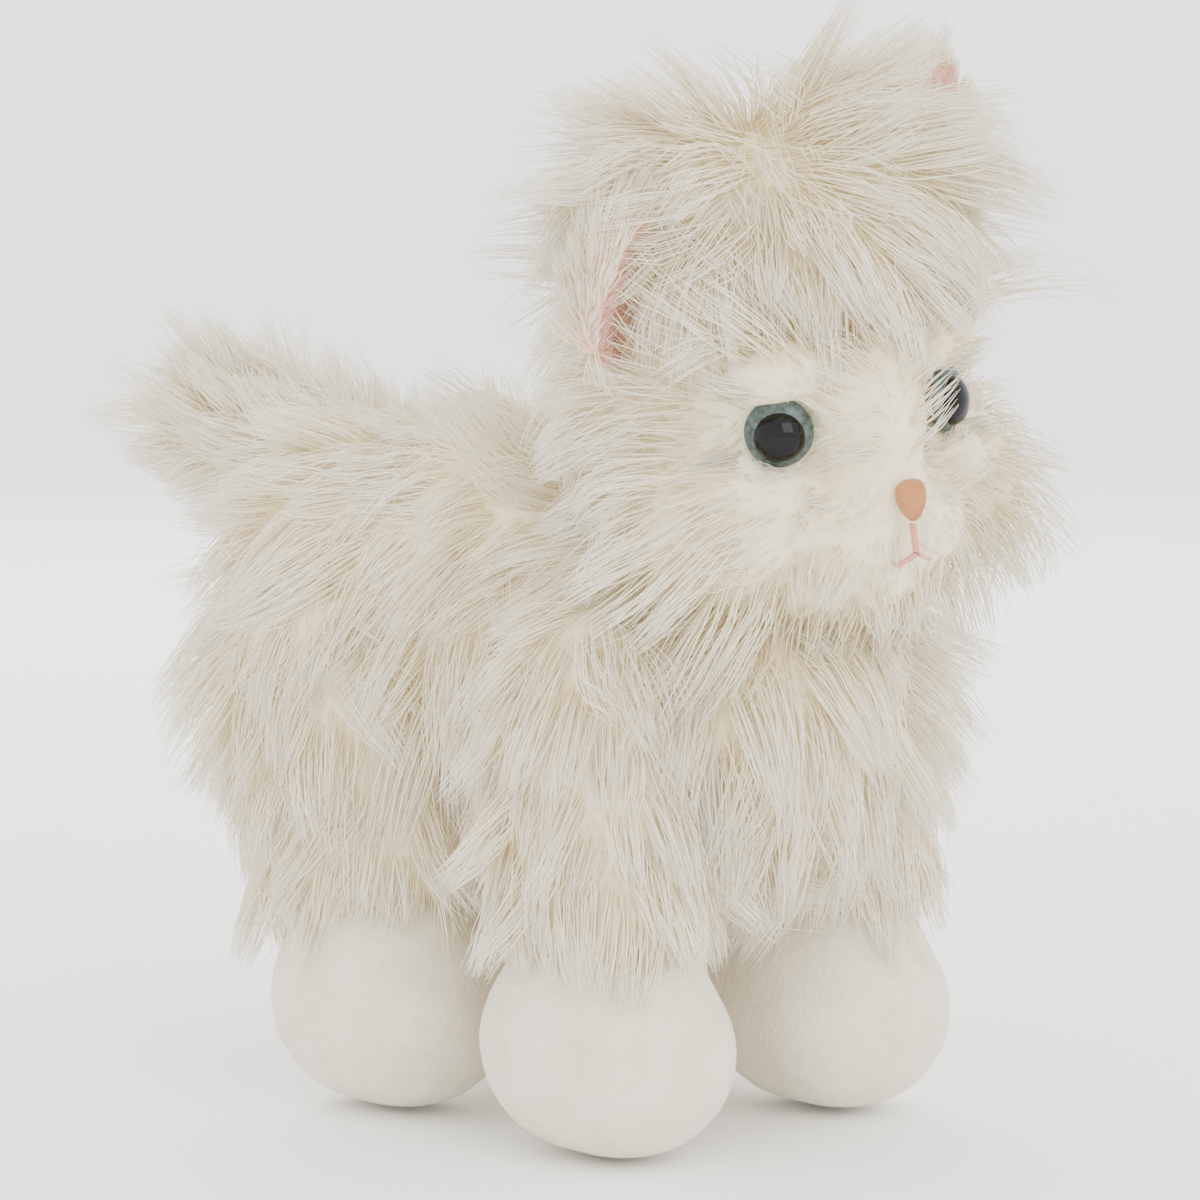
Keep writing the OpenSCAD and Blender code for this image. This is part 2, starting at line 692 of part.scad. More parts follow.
module head_cover() color("ivory") in_head() difference() {
    union() {
        sphere(r = head_r);
        lean() muzzle_form();
    }
    sphere(r = skull_r + cover_gap);
    translate([0, 0, -head_r - 1]) cylinder(r = neck_hole_r, h = head_r);
    lean() eye_axis() {
        translate([0, -eye_seat, 0]) sphere(r = eye_r + 0.1);
        y_rod(0, -head_r, -skull_r + 1, 0, shank_r + 0.1);
    }
}

module eye() color("black") {
    translate([0, -eye_seat, 0]) sphere(r = eye_r);
    y_rod(0, -eye_seat, -skull_r + skull_wall + 2.4, 0, shank_r);
}

module eye_right() in_head() lean() rotate([0, 0, -eye_angle]) translate([0, 0, eye_lift]) eye();
module eye_left() in_head() lean() rotate([0, 0, eye_angle]) translate([0, 0, eye_lift]) eye();

module eye_washers() color("white") in_head() lean() eye_axis() difference() {
    y_rod(0, -skull_r + skull_wall + 0.9, -skull_r + skull_wall + 2.1, 0, 4);
    y_rod(0, -skull_r, 0, 0, shank_r + 0.02);
}

module nose() color("lightsalmon") in_head() lean() difference() {
    translate([0, muzzle_pos[1] - muzzle_r + 0.6, muzzle_pos[2] + 3.5]) sphere(r = nose_r);
    muzzle_form(0.1);
}

module mouth_stitch() color("lightpink") in_head() lean() translate(muzzle_pos) rotate([0, 90, 0])
    rotate([0, 0, -85]) rotate_extrude(angle = 22) translate([muzzle_r + 0.7, 0]) circle(r = 0.5, $fn = 16);

module crown_tuft() color("white") in_head() lean() difference() {
    translate([0, -6, crown_base_z]) cylinder(r1 = 30, r2 = crown_top_r, h = crown_h - crown_base_z);
    sphere(r = head_r + 0.1);
    for (s = [-1, 1]) ear_place(s) translate([0, 0, -1]) cylinder(r = ear_r + 0.4, h = ear_t + 8);
}

// Place of an ear: its flat side looks forward and outward
module ear_place(s) translate([-s * ear_pos[0], ear_pos[1], ear_pos[2]])
    rotate([0, s * ear_tilt, 0]) rotate([0, 0, -s * ear_turn]) rotate([90, 0, 0]) children();

module ear(s) color("ivory") in_head() lean() difference() {
    ear_place(s) difference() {
        cylinder(r = ear_r, h = ear_t);
        translate([0, 0, ear_t - lining_t]) cylinder(r = lining_r, h = lining_t + 1);
    }
    sphere(r = head_r + 0.1);
}

module ear_lining(s) color("lightpink") in_head() lean() difference() {
    ear_place(s) translate([0, 0, ear_t - lining_t]) cylinder(r = lining_r - 0.05, h = lining_t);
    sphere(r = head_r + 0.1);
}

module ear_right() ear(-1);
module ear_left() ear(1);
module ear_lining_right() ear_lining(-1);
module ear_lining_left() ear_lining(1);

// ---------- tail ----------

module in_tail() translate(tail_pos) rotate([tail_slope, 0, 0]) children();

module tail_bracket() color("gainsboro") {
    block([-4, casing_rear_y, tail_pos[2] - 5.4], [4, tail_pos[1], tail_pos[2] - 3.4]);
    translate([0, tail_pos[1], tail_pos[2] - 5.4]) cylinder(r = 4, h = 2);
    translate([0, tail_pos[1], tail_pos[2] - 3.4]) cylinder(r = 1.6, h = 7.4);
}

module tail_core() color("white") difference() {
    union() {
        translate([tail_pos[0], tail_pos[1], tail_pos[2] - 3]) cylinder(r = tail_eye_r, h = 6);
        in_tail() y_rod(0, 2, tail_len - tail_r, 0, 2);
    }
    translate([tail_pos[0], tail_pos[1], tail_pos[2] - 10]) cylinder(r = 1.6 + run_gap, h = 20);
}

module tail_cover() color("ivory") in_tail() difference() {
    union() {
        translate([0, tail_r + 5, 0]) sphere(r = tail_r);
        y_rod(0, tail_r + 5, tail_len - tail_r, 0, tail_r);
        translate([0, tail_len - tail_r, 0]) sphere(r = tail_r);
    }
    y_rod(0, 0, tail_len - tail_r + 0.3, 0, 2.2);
}

body_cover();
casing_right();
casing_left();
casing_screws();
gearbox_plate();
motor();
gear_axle();
front_axle();
rear_axle();
battery_box();
battery_cells();
battery_contacts();
battery_door();
door_screw();
circuit_board();
board_parts();
speaker();
speaker_magnet();
switch_housing();
power_slider();
touch_housing();
touch_button();
touch_spring();
battery_leads();
motor_pinion();
middle_gear();
crankshaft();
crank_gear();
side_rod_right();
side_rod_left();
leg_front_right();
sleeve_front_right();
paw_front_right();
leg_front_left();
sleeve_front_left();
paw_front_left();
leg_rear_right();
sleeve_rear_right();
paw_rear_right();
leg_rear_left();
sleeve_rear_left();
paw_rear_left();
neck_post();
neck_swivel();
skull_back();
skull_front();
head_cover();
crown_tuft();
eye_right();
eye_left();
eye_washers();
nose();
mouth_stitch();
ear_right();
ear_left();
ear_lining_right();
ear_lining_left();
tail_bracket();
tail_core();
tail_cover();
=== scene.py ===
import bmesh
import bpy
import json
import math
import numpy as np
from mathutils import Matrix, Vector
from mathutils.kdtree import KDTree


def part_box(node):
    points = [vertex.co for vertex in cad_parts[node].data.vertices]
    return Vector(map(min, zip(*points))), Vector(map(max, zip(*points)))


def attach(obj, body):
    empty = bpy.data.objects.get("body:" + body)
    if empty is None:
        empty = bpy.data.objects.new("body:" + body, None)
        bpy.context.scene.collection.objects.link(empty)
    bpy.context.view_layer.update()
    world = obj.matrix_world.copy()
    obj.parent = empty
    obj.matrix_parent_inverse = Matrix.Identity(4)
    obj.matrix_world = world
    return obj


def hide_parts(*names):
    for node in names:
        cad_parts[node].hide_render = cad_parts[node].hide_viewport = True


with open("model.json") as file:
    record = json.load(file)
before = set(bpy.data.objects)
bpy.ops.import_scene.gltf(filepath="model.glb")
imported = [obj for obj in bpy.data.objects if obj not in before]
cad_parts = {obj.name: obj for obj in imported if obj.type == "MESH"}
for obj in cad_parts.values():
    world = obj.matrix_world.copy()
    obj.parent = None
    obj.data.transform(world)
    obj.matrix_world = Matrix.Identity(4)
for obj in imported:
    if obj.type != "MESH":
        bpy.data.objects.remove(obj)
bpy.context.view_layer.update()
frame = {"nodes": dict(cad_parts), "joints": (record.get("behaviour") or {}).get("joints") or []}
mm = 0.001
scene = bpy.context.scene
joints = {j["name"]: j for j in frame["joints"]}
sides = {"right": -1, "left": 1}


def place(joint):
    return Vector(joints[joint]["pos_m"])


# The head's own frame: the pivot is its middle, and it looks along its -Y
headPivot = place("head_nod")
nodAxis = Vector(joints["head_nod"]["axis"])
headMatrix = Matrix.Translation(headPivot) @ Matrix.Rotation(math.atan2(nodAxis.y, nodAxis.x), 4, "Z")
hipFront = place("leg_front_right_swing")
hipRear = place("leg_rear_right_swing")
tailPin = place("tail_wag")

# Camera, light and floor

cameraSettings = {"azimuth": -44.5, "elevation": 7, "distance": 0.9, "lens": 147.6,
    "aim": (0.006, -0.0059, 0.0919)}


def makeCamera(s):
    a, e = math.radians(s["azimuth"]), math.radians(s["elevation"])
    away = Vector((math.sin(a) * math.cos(e), -math.cos(a) * math.cos(e), math.sin(e)))
    aim = Vector(s["aim"])
    data = bpy.data.cameras.new("camera")
    data.lens = s["lens"]
    data.clip_start = 0.01
    camera = bpy.data.objects.new("camera", data)
    camera.location = aim + away * s["distance"]
    camera.rotation_euler = away.to_track_quat("Z", "Y").to_euler()
    scene.collection.objects.link(camera)
    scene.camera = camera


def makeLight(name, place, aim, size, power, tint=(1, 1, 1)):
    data = bpy.data.lights.new(name, "AREA")
    data.size = size
    data.energy = power
    data.color = tint
    light = bpy.data.objects.new(name, data)
    light.location = place
    light.rotation_euler = (Vector(place) - Vector(aim)).to_track_quat("Z", "Y").to_euler()
    scene.collection.objects.link(light)


def hexLinear(code, alpha=1.0):
    values = [int(code[i:i + 2], 16) / 255 for i in (0, 2, 4)]
    return tuple(v / 12.92 if v <= 0.04045 else ((v + 0.055) / 1.055) ** 2.4 for v in values) + (alpha,)


def addNode(tree, kind, settings=None, links=None, values=None, stops=()):
    node = tree.nodes.new(kind)
    for key, value in (settings or {}).items():
        setattr(node, key, value)
    for key, value in (values or {}).items():
        node.inputs[key].default_value = value
    for key, socket in (links or {}).items():
        tree.links.new(socket, node.inputs[key])
    for k, (at, code) in enumerate(stops):
        element = node.color_ramp.elements[k] if k < 2 else node.color_ramp.elements.new(at)
        element.position = at
        element.color = hexLinear(code)
    return node


def newMaterial(name, **principled):
    material = bpy.data.materials.new(name)
    material.use_nodes = True
    tree = material.node_tree
    tree.nodes.clear()
    shader = addNode(tree, "ShaderNodeBsdfPrincipled", values=principled)
    addNode(tree, "ShaderNodeOutputMaterial", links={"Surface": shader.outputs["BSDF"]})
    return material, tree, shader


def newObject(name, mesh):
    obj = bpy.data.objects.new(name, mesh)
    scene.collection.objects.link(obj)
    return obj


def fromBmesh(name, bm, smooth=True):
    mesh = bpy.data.meshes.new(name)
    bm.to_mesh(mesh)
    bm.free()
    if smooth:
        mesh.shade_smooth()
    return newObject(name, mesh)


def applyModifiers(obj):
    graph = bpy.context.evaluated_depsgraph_get()
    mesh = bpy.data.meshes.new_from_object(obj.evaluated_get(graph))
    obj.modifiers.clear()
    obj.data = mesh


# Materials

def makePile(name, root, belly, tip, glow=0.16):
    # Acrylic long pile, brushed: dull and soft. Its colour runs from cream at the roots to white at the tips,
    # and the cream is painted warm shade for the light that bounces deep in the pile
    # The faint glow stands for light that scatters many times between white fibres
    material, tree, shader = newMaterial(name, **{"Roughness": 0.85, "IOR": 1.49, "Specular IOR Level": 0.1,
        "Emission Color": hexLinear(root), "Emission Strength": glow})
    along = addNode(tree, "ShaderNodeAttribute", {"attribute_name": "along"}).outputs["Fac"]
    tone = addNode(tree, "ShaderNodeAttribute", {"attribute_name": "tone"}).outputs["Fac"]
    colour = addNode(tree, "ShaderNodeValToRGB", links={"Fac": along},
        stops=[(0.0, root), (0.85, tip), (0.3, belly)])
    # The tone attribute scales the colour down. It varies at random from lock to lock, and it also carries
    # painted shade round the eyes
    shade = addNode(tree, "ShaderNodeMapRange", links={"Value": tone}, values={"To Min": 0.5, "To Max": 1.0})
    mix = addNode(tree, "ShaderNodeVectorMath", {"operation": "SCALE"},
        {"Vector": colour.outputs["Color"], "Scale": shade.outputs["Result"]})
    tree.links.new(mix.outputs["Vector"], shader.inputs["Base Color"])
    return material


def makeKnit(name, dark, light, weave=1.1, relief=0.25, spread=14, sheen=0.5):
    # Knitted polyester backing and short sheared fleece: soft halo, fine nap, slow changes of tone
    material, tree, shader = newMaterial(name, **{"Roughness": 0.85, "Sheen Weight": sheen,
        "Sheen Roughness": 0.4, "IOR": 1.49, "Specular IOR Level": 0.2})
    where = addNode(tree, "ShaderNodeTexCoord").outputs["Object"]
    nap = addNode(tree, "ShaderNodeTexNoise", links={"Vector": where},
        values={"Scale": 1000 / weave, "Detail": 3.0, "Roughness": 0.65})
    cloud = addNode(tree, "ShaderNodeTexNoise", links={"Vector": where},
        values={"Scale": 1000 / spread, "Detail": 4.0, "Roughness": 0.6})
    blend = addNode(tree, "ShaderNodeMath", {"operation": "MULTIPLY_ADD"},
        {0: nap.outputs["Fac"], 2: cloud.outputs["Fac"]}, {1: 0.35})
    colour = addNode(tree, "ShaderNodeValToRGB", links={"Fac": blend.outputs["Value"]},
        stops=[(0.45, dark), (0.85, light)])
    bump = addNode(tree, "ShaderNodeBump", links={"Height": nap.outputs["Fac"]},
        values={"Strength": relief, "Distance": 0.0006})
    tree.links.new(colour.outputs["Color"], shader.inputs["Base Color"])
    tree.links.new(bump.outputs["Normal"], shader.inputs["Normal"])
    return material


def makeHard(name, dark, light, roughness, grain=3.0, metallic=0.0, ior=1.5, coat=0.0, relief=0.05):
    # Moulded plastics and plated steel: an even colour with a fine grain from the mould or the drawing
    material, tree, shader = newMaterial(name, **{"Roughness": roughness, "Metallic": metallic, "IOR": ior,
        "Coat Weight": coat, "Coat Roughness": 0.05})
    where = addNode(tree, "ShaderNodeTexCoord").outputs["Object"]
    noise = addNode(tree, "ShaderNodeTexNoise", links={"Vector": where},
        values={"Scale": 1000 / grain, "Detail": 4.0, "Roughness": 0.6})
    colour = addNode(tree, "ShaderNodeValToRGB", links={"Fac": noise.outputs["Fac"]},
        stops=[(0.3, dark), (0.7, light)])
    bump = addNode(tree, "ShaderNodeBump", links={"Height": noise.outputs["Fac"]},
        values={"Strength": relief, "Distance": 0.0003})
    tree.links.new(colour.outputs["Color"], shader.inputs["Base Color"])
    tree.links.new(bump.outputs["Normal"], shader.inputs["Normal"])
    return material


# Each pile runs from its root colour to its tip colour: the warmer root colours are painted warm shade deep
# in the pile
whitePile = makePile("whiteAcrylicPile", "EFDCAC", "F1E6CB", "F2ECDD")
facePile = makePile("whiteFacePile", "E6D3A6", "EEE3C6", "F2ECDC", 0.09)
pinkPile = makePile("pinkEarPile", "E3A08C", "EAB4A2", "EFC8B8", 0.12)
backing = makeKnit("creamKnitBacking", "E9DAB4", "F0E5C8", 1.4, 0.3)
fleece = makeKnit("shearedWhiteFleece", "D9CFB6", "E8E0CE", 1.1, 0.6, 10, 0.3)
pinkFelt = makeKnit("pinkFeltLining", "E3AE9C", "EDC2B2", 0.8, 0.3)
nosePlush = makeKnit("salmonNoseFelt", "A5683F", "BC835A", 0.5, 0.5, 4, 0.2)
threadPink = makeKnit("pinkEmbroideryThread", "D08F76", "E0A68F", 0.5, 0.5, 4, 0.2)
print("materials made")

# Soft shapes


def softForm(name, blobs, matrix=None, voxel=2.0, smooth=12):
    # Overlapping balls, each as x, y, z and three radii in millimetres, melted into one smooth skin
    bm = bmesh.new()
    base = matrix or Matrix.Identity(4)
    for x, y, z, rx, ry, rz in blobs:
        shape = Matrix.Translation(Vector((x, y, z)) * mm) @ Matrix.Diagonal((rx * mm, ry * mm, rz * mm, 1))
        bmesh.ops.create_icosphere(bm, subdivisions=4, radius=1, matrix=base @ shape)
    obj = fromBmesh(name, bm)
    melt = obj.modifiers.new("melt", "REMESH")
    melt.mode = "VOXEL"
    melt.voxel_size = voxel * mm
    melt.use_smooth_shade = True
    ease = obj.modifiers.new("ease", "SMOOTH")
    ease.factor = 0.6
    ease.iterations = smooth
    applyModifiers(obj)
    return obj


def puffUp(obj, pressure=4.0, cap=2.5, steps=20):
    # Stuffing: the cover is blown up as cloth, and no point may travel further than cap millimetres
    start = np.zeros(len(obj.data.vertices) * 3, np.float32)
    obj.data.vertices.foreach_get("co", start)
    cloth = obj.modifiers.new("stuffing", "CLOTH")
    cloth.settings.use_pressure = True
    cloth.settings.uniform_pressure_force = pressure
    cloth.settings.quality = 5
    cloth.settings.effector_weights.gravity = 0
    cloth.point_cache.frame_end = steps
    for step in range(1, steps + 1):
        scene.frame_set(step)
    graph = bpy.context.evaluated_depsgraph_get()
    puffed = bpy.data.meshes.new_from_object(obj.evaluated_get(graph))
    end = np.zeros_like(start)
    puffed.vertices.foreach_get("co", end)
    move = (end - start).reshape(-1, 3)
    reach = np.linalg.norm(move, axis=1, keepdims=True)
    move *= np.minimum(1, cap * mm / np.maximum(reach, 1e-9))
    puffed.vertices.foreach_set("co", (start.reshape(-1, 3) + move).ravel())
    obj.modifiers.clear()
    obj.data = puffed
    scene.frame_set(1)


def unit(v):
    return v / np.maximum(np.linalg.norm(v, axis=1, keepdims=True), 1e-9)


def scatter(skin, count, rng):
    # Even random places on a skin, with the smooth normal at each
    mesh = skin.data
    mesh.calc_loop_triangles()
    co = np.zeros(len(mesh.vertices) * 3)
    mesh.vertices.foreach_get("co", co)
    nor = np.zeros(len(mesh.vertices) * 3)
    mesh.vertices.foreach_get("normal", nor)
    tri = np.zeros(len(mesh.loop_triangles) * 3, np.int32)
    mesh.loop_triangles.foreach_get("vertices", tri)
    co, nor, tri = co.reshape(-1, 3), nor.reshape(-1, 3), tri.reshape(-1, 3)
    a, b, c = co[tri[:, 0]], co[tri[:, 1]], co[tri[:, 2]]
    area = np.linalg.norm(np.cross(b - a, c - a), axis=1)
    pick = rng.choice(len(tri), count, p=area / area.sum())
    u, v = rng.random((2, count, 1))
    flip = u + v > 1
    u, v = np.where(flip, 1 - u, u), np.where(flip, 1 - v, v)
    points = a[pick] * (1 - u - v) + b[pick] * u + c[pick] * v
    normals = unit(nor[tri[pick, 0]] * (1 - u - v) + nor[tri[pick, 1]] * u + nor[tri[pick, 2]] * v)
    return points, normals


def strandTree():
    # Turns poly lines into closed three-sided hairs as thick as their "thick" attribute
    tree = bpy.data.node_groups.new("hairs", "GeometryNodeTree")
    tree.interface.new_socket("Geometry", in_out="INPUT", socket_type="NodeSocketGeometry")
    tree.interface.new_socket("Geometry", in_out="OUTPUT", socket_type="NodeSocketGeometry")
    source = addNode(tree, "NodeGroupInput")
    thick = addNode(tree, "GeometryNodeInputNamedAttribute", {"data_type": "FLOAT"}, values={"Name": "thick"})
    lines = addNode(tree, "GeometryNodeMeshToCurve", links={"Mesh": source.outputs["Geometry"]})
    profile = addNode(tree, "GeometryNodeCurvePrimitiveCircle", {"mode": "RADIUS"},
        values={"Resolution": 3, "Radius": 1.0})
    hairs = addNode(tree, "GeometryNodeCurveToMesh", links={"Curve": lines.outputs["Curve"],
        "Profile Curve": profile.outputs["Curve"], "Scale": thick.outputs["Attribute"]},
        values={"Fill Caps": True})
    addNode(tree, "NodeGroupOutput", links={"Geometry": hairs.outputs["Mesh"]})
    return tree


hairTree = strandTree()
hairSettings = {"taper": 0.88, "taperPower": 1.8, "rootDepth": 0.6, "shortest": 0.6, "stretch": 1.25,
    "tone": 0.93, "lockTone": 0.04, "hairTone": 0.02, "lockLength": (0.7, 0.5), "hairLength": (0.75, 0.45),
    "hairWidth": (0.7, 0.6)}


def hairObject(name, lines, width, along, tone, material):
    # lines is (hairs, points, 3), width the root's half thickness of each hair
    count, steps = lines.shape[:2]
    mesh = bpy.data.meshes.new(name)
    mesh.vertices.add(count * steps)
    mesh.vertices.foreach_set("co", lines.astype(np.float32).ravel())
    first = (np.arange(count)[:, None] * steps + np.arange(steps - 1)).ravel()
    mesh.edges.add(len(first))
    mesh.edges.foreach_set("vertices", np.stack([first, first + 1], 1).astype(np.int32).ravel())
    taper = 1 - hairSettings["taper"] * along ** hairSettings["taperPower"]
    # The tone attribute holds random lock tone and the painted shade round the eyes
    for key, values in (("thick", width[:, None] * taper), ("along", np.tile(along, (count, 1))),
                        ("tone", np.tile(tone[:, None], (1, steps)))):
        attribute = mesh.attributes.new(key, "FLOAT", "POINT")
        attribute.data.foreach_set("value", values.astype(np.float32).ravel())
    obj = newObject(name, mesh)
    obj.modifiers.new("hairs", "NODES").node_group = hairTree
    applyModifiers(obj)
    obj.data.shade_smooth()
    obj.data.materials.clear()
    obj.data.materials.append(material)
    return obj


def growFur(name, skin, style, body, material, seed, keep=None):
    # The style's length and comb are functions of place and normal. Lift, stray and droop set each hair's
    # way, clump, lock and wave gather the hairs, and fray parts their tips
    rng = np.random.default_rng(seed)
    p, n = scatter(skin, int(style["count"]), rng)
    if keep is not None:
        chosen = keep(p)
        p, n = p[chosen], n[chosen]
    comb = style["comb"](p, n)
    comb = unit(comb - n * (comb * n).sum(1, keepdims=True) + 1e-6)
    base, spread = hairSettings["hairLength"]
    length = style["length"](p, n) * mm * (base + spread * rng.random(len(p)))
    chosen = length > hairSettings["shortest"] * mm
    p, n, comb, length = p[chosen], n[chosen], comb[chosen], length[chosen]
    count = len(p)
    along = np.linspace(0, 1, style.get("segments", 3) + 1)
    lift = style["lift"] * (0.8 + 0.4 * rng.random((count, 1)))
    rootWay = unit(n * lift + comb * (1 - lift) + rng.normal(0, style.get("stray", 0.10), (count, 3)))
    tipWay = unit(n * lift * 0.45 + comb + np.array([0, 0, -style.get("droop", 0.25)]) +
        rng.normal(0, style.get("stray", 0.10), (count, 3)))
    # Each lock has a leader hair that the hairs round it lean to
    locks = max(4, int(count / style["lock"]))
    leaders = rng.choice(count, locks, replace=False)
    tree = KDTree(locks)
    for i, k in enumerate(leaders):
        tree.insert(p[k], i)
    tree.balance()
    owner = leaders[np.array([tree.find(q)[1] for q in p])]
    bend = rng.normal(0, 1, (count, 3)) * style.get("wave", 0.12)
    tipWay = unit(tipWay + bend[owner])
    rootWay = unit(rootWay + bend[owner] * 0.5)
    base, spread = hairSettings["lockLength"]
    lockLength = (base + spread * rng.random(count))[owner][:, None]
    t = along[None, :, None]
    reach = length[:, None, None] * lockLength[:, :, None]
    # Each hair starts along its root way and bends over to its tip way, from a little under the skin
    curve = rootWay[:, None] * (t - 0.5 * t ** 2) + tipWay[:, None] * (0.5 * t ** 2)
    lines = p[:, None] + reach * curve * hairSettings["stretch"]
    lines = lines - n[:, None] * hairSettings["rootDepth"] * mm * (1 - t)
    pull = style["clump"] * t ** 1.3
    lines = lines * (1 - pull) + lines[owner] * pull
    lines += t ** 2 * rng.normal(0, style.get("fray", 0.7) * mm, (count, 1, 3))
    lockTone = hairSettings["lockTone"] * rng.normal(0, 1, count)[owner]
    tone = np.clip(hairSettings["tone"] + lockTone + rng.normal(0, hairSettings["hairTone"], count), 0, 1)
    # Painted shade: a style's shade darkens hairs by place, as round the eyes
    if "shade" in style:
        tone = tone * style["shade"](p)
    base, spread = hairSettings["hairWidth"]
    width = style["width"] * mm * (base + spread * rng.random(count))
    hairs = hairObject(name, lines, width, along, tone, material)
    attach(hairs, body)
    print("  ", name, count, "hairs")
    return hairs


# The face's own frame leans and turns a little on the skull
faceLean, faceTurn = math.radians(-8), math.radians(-3)
faceMatrix = headMatrix @ Matrix.Rotation(faceLean, 4, "Y") @ Matrix.Rotation(faceTurn, 4, "Z")
faceBack = np.array(faceMatrix.inverted())


def inHead(p):
    return (p @ faceBack[:3, :3].T + faceBack[:3, 3]) / mm


def fromHead(v):
    return v @ np.array(faceMatrix.to_3x3()).T


def finishSkin(skin, body, material=backing):
    skin.data.materials.clear()
    skin.data.materials.append(material)
    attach(skin, body)


# Head: stuffed skin in millimetres about the head's pivot, facing -Y
faceSettings = {"eyeAngle": 31, "eyeLift": 1.6, "eyeReach": 32.6, "eyeRadius": 5.9, "nose": (0, -41.5, -12.0)}
nosePoint = np.array(faceSettings["nose"])
eyePoints = {}
for side, s in sides.items():
    a = math.radians(faceSettings["eyeAngle"])
    eyePoints[side] = np.array([s * math.sin(a), -math.cos(a), 0]) * faceSettings["eyeReach"]
    eyePoints[side][2] = faceSettings["eyeLift"]

headSkin = softForm("headSkin", [
    (0, 3, 2, 34, 33, 32), (0, 2, 14, 31, 30, 25), (-19, -13, -14, 17, 17, 16), (19, -13, -14, 17, 17, 16),
    (0, -28.5, 2, 10.5, 11, 15), (0, -29, -10, 9, 10, 8),
    (-6.5, -29, -18, 9.5, 9.5, 8.5), (6.5, -29, -18, 9.5, 9.5, 8.5),
    (0, -27, -24, 9, 9, 8), (0, -12, -22, 21, 19, 15), (-15, -26, 12, 10, 8, 6), (15, -26, 12, 10, 8, 6),
    (-17, -28, -10, 7, 5, 5), (17, -28, -10, 7, 5, 5)], faceMatrix, 1.6, 8)
finishSkin(headSkin, "head")
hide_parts("head_cover")


def headComb(p, n):
    # Away from the nose over the face, out and down on the cheeks, up over the crown, back behind the ears
    q = inHead(p)
    back = q - nosePoint
    back[:, 2] -= 7
    down = np.array([0.0, 0.25, -1.0])
    crown = np.clip((q[:, 2] - 8) / 12, 0, 1)[:, None]
    front = np.clip((-q[:, 1] - 2) / 12, 0, 1)[:, None]
    rear = np.clip((q[:, 1] - 4) / 10, 0, 1)[:, None]
    side = np.clip(q[:, :1] / 12, -1, 1) * np.array([1.0, 0, 0])
    way = unit(back) * (1 - rear) + 0.4 * down * (1 - crown)
    rise = np.array([0.0, -0.45, 0.9]) + 0.7 * side
    sweep = np.array([0.0, 0.7, -0.2]) + 0.5 * side
    way = way * (1 - crown) + (rise * front + sweep * (1 - front)) * crown + rear * down * 0.7
    return fromHead(way)


def eyeGap(q):
    return np.minimum(*[np.linalg.norm(q - eyePoints[s], axis=1) for s in sides])


def headLength(p, n):
    q = inHead(p)
    fromNose = np.linalg.norm(q - nosePoint, axis=1)
    length = np.clip((fromNose - 1) * 0.56, 3.6, 15.5)
    cheek = np.clip((-q[:, 2] - 6) / 16, 0, 1) * np.clip((fromNose - 17) / 14, 0, 1)
    brow = np.clip((q[:, 2] - 9) / 8, 0, 1)
    length = length + 6 * cheek + 7 * brow
    gap = eyeGap(q)
    length = np.where(gap < 12, np.minimum(length, 2.2 + (gap - 6) * 1.1), length)
    length = np.where(gap < 5.6, 0, length)
    nose = np.linalg.norm((q - nosePoint) * np.array([1, 0.5, 0.9]), axis=1)
    return np.where(nose < 2.9, 0, length)


def paintedEyeShade(p):
    # Painted shade: darker, olive round each eye, most of all under it and towards the nose, where the
    # sockets lie in shadow
    gap = eyeGap(inHead(p) + np.array([0, 0, 1.0]))
    return 1 - 0.75 * np.clip((11.5 - gap) / 6, 0, 1)


headStyle = {"length": headLength, "comb": headComb, "lift": 0.38, "clump": 0.6, "lock": 28, "wave": 0.18,
    "width": 0.17, "droop": 0.1, "stray": 0.12, "fray": 0.5, "shade": paintedEyeShade}
headPatches = {
    "RightCheek": (9000, lambda q: (q[:, 0] < 0) & (q[:, 2] < 12) & (q[:, 1] < 6)),
    "LeftCheek": (8500, lambda q: (q[:, 0] >= 0) & (q[:, 2] < 12) & (q[:, 1] < 6)),
    "Crown": (6500, lambda q: q[:, 2] >= 12),
    "Nape": (5000, lambda q: (q[:, 2] < 12) & (q[:, 1] >= 6))}
for k, (label, (count, test)) in enumerate(headPatches.items()):
    growFur("head" + label + "Fur", headSkin, dict(headStyle, count=count), "head", facePile, 11 + k,
        lambda p, t=test: t(inHead(p)))
print("head furred")

# The tuft: long hair that stands up from brow and crown and falls forward and outward at its ends
crownSkin = softForm("crownSkin", [
    (1, -7, 26, 27, 25, 21), (6, -12, 36, 20, 17, 17), (-12, -4, 38, 17, 18, 14)], faceMatrix, 1.8, 6)
finishSkin(crownSkin, "head")
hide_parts("crown_tuft")


def crownComb(p, n):
    # Up and outward at the top, forward and down over the brow, back over the nape
    q = inHead(p)
    out = np.stack([q[:, 0] / 22, (q[:, 1] + 8) / 22, np.zeros(len(q))], 1)
    top = np.clip((q[:, 2] - 34) / 14, 0, 1)[:, None]
    front = np.clip((-q[:, 1] - 6) / 12, 0, 1)[:, None]
    fall = np.array([0.0, -0.7, -0.75]) + out * np.array([0.9, 0, 0])
    rear = np.array([0.0, 0.7, -0.5]) + out * np.array([0.8, 0, 0])
    low = fall * front + rear * (1 - front)
    return fromHead(low * (1 - top) + (out + np.array([0.1, -0.15, 0.8])) * top)


crownStyle = {"count": 12500, "length": lambda p, n: 7 + 12 * np.clip((inHead(p)[:, 2] - 18) / 16, 0, 1),
    "comb": crownComb, "lift": 0.36, "clump": 0.62, "lock": 34, "wave": 0.24, "width": 0.18, "droop": 0.0,
    "stray": 0.13}
growFur("crownTuftFur", crownSkin, crownStyle, "head", whitePile, 21, lambda p: inHead(p)[:, 2] > 16)
print("crown tuft furred")

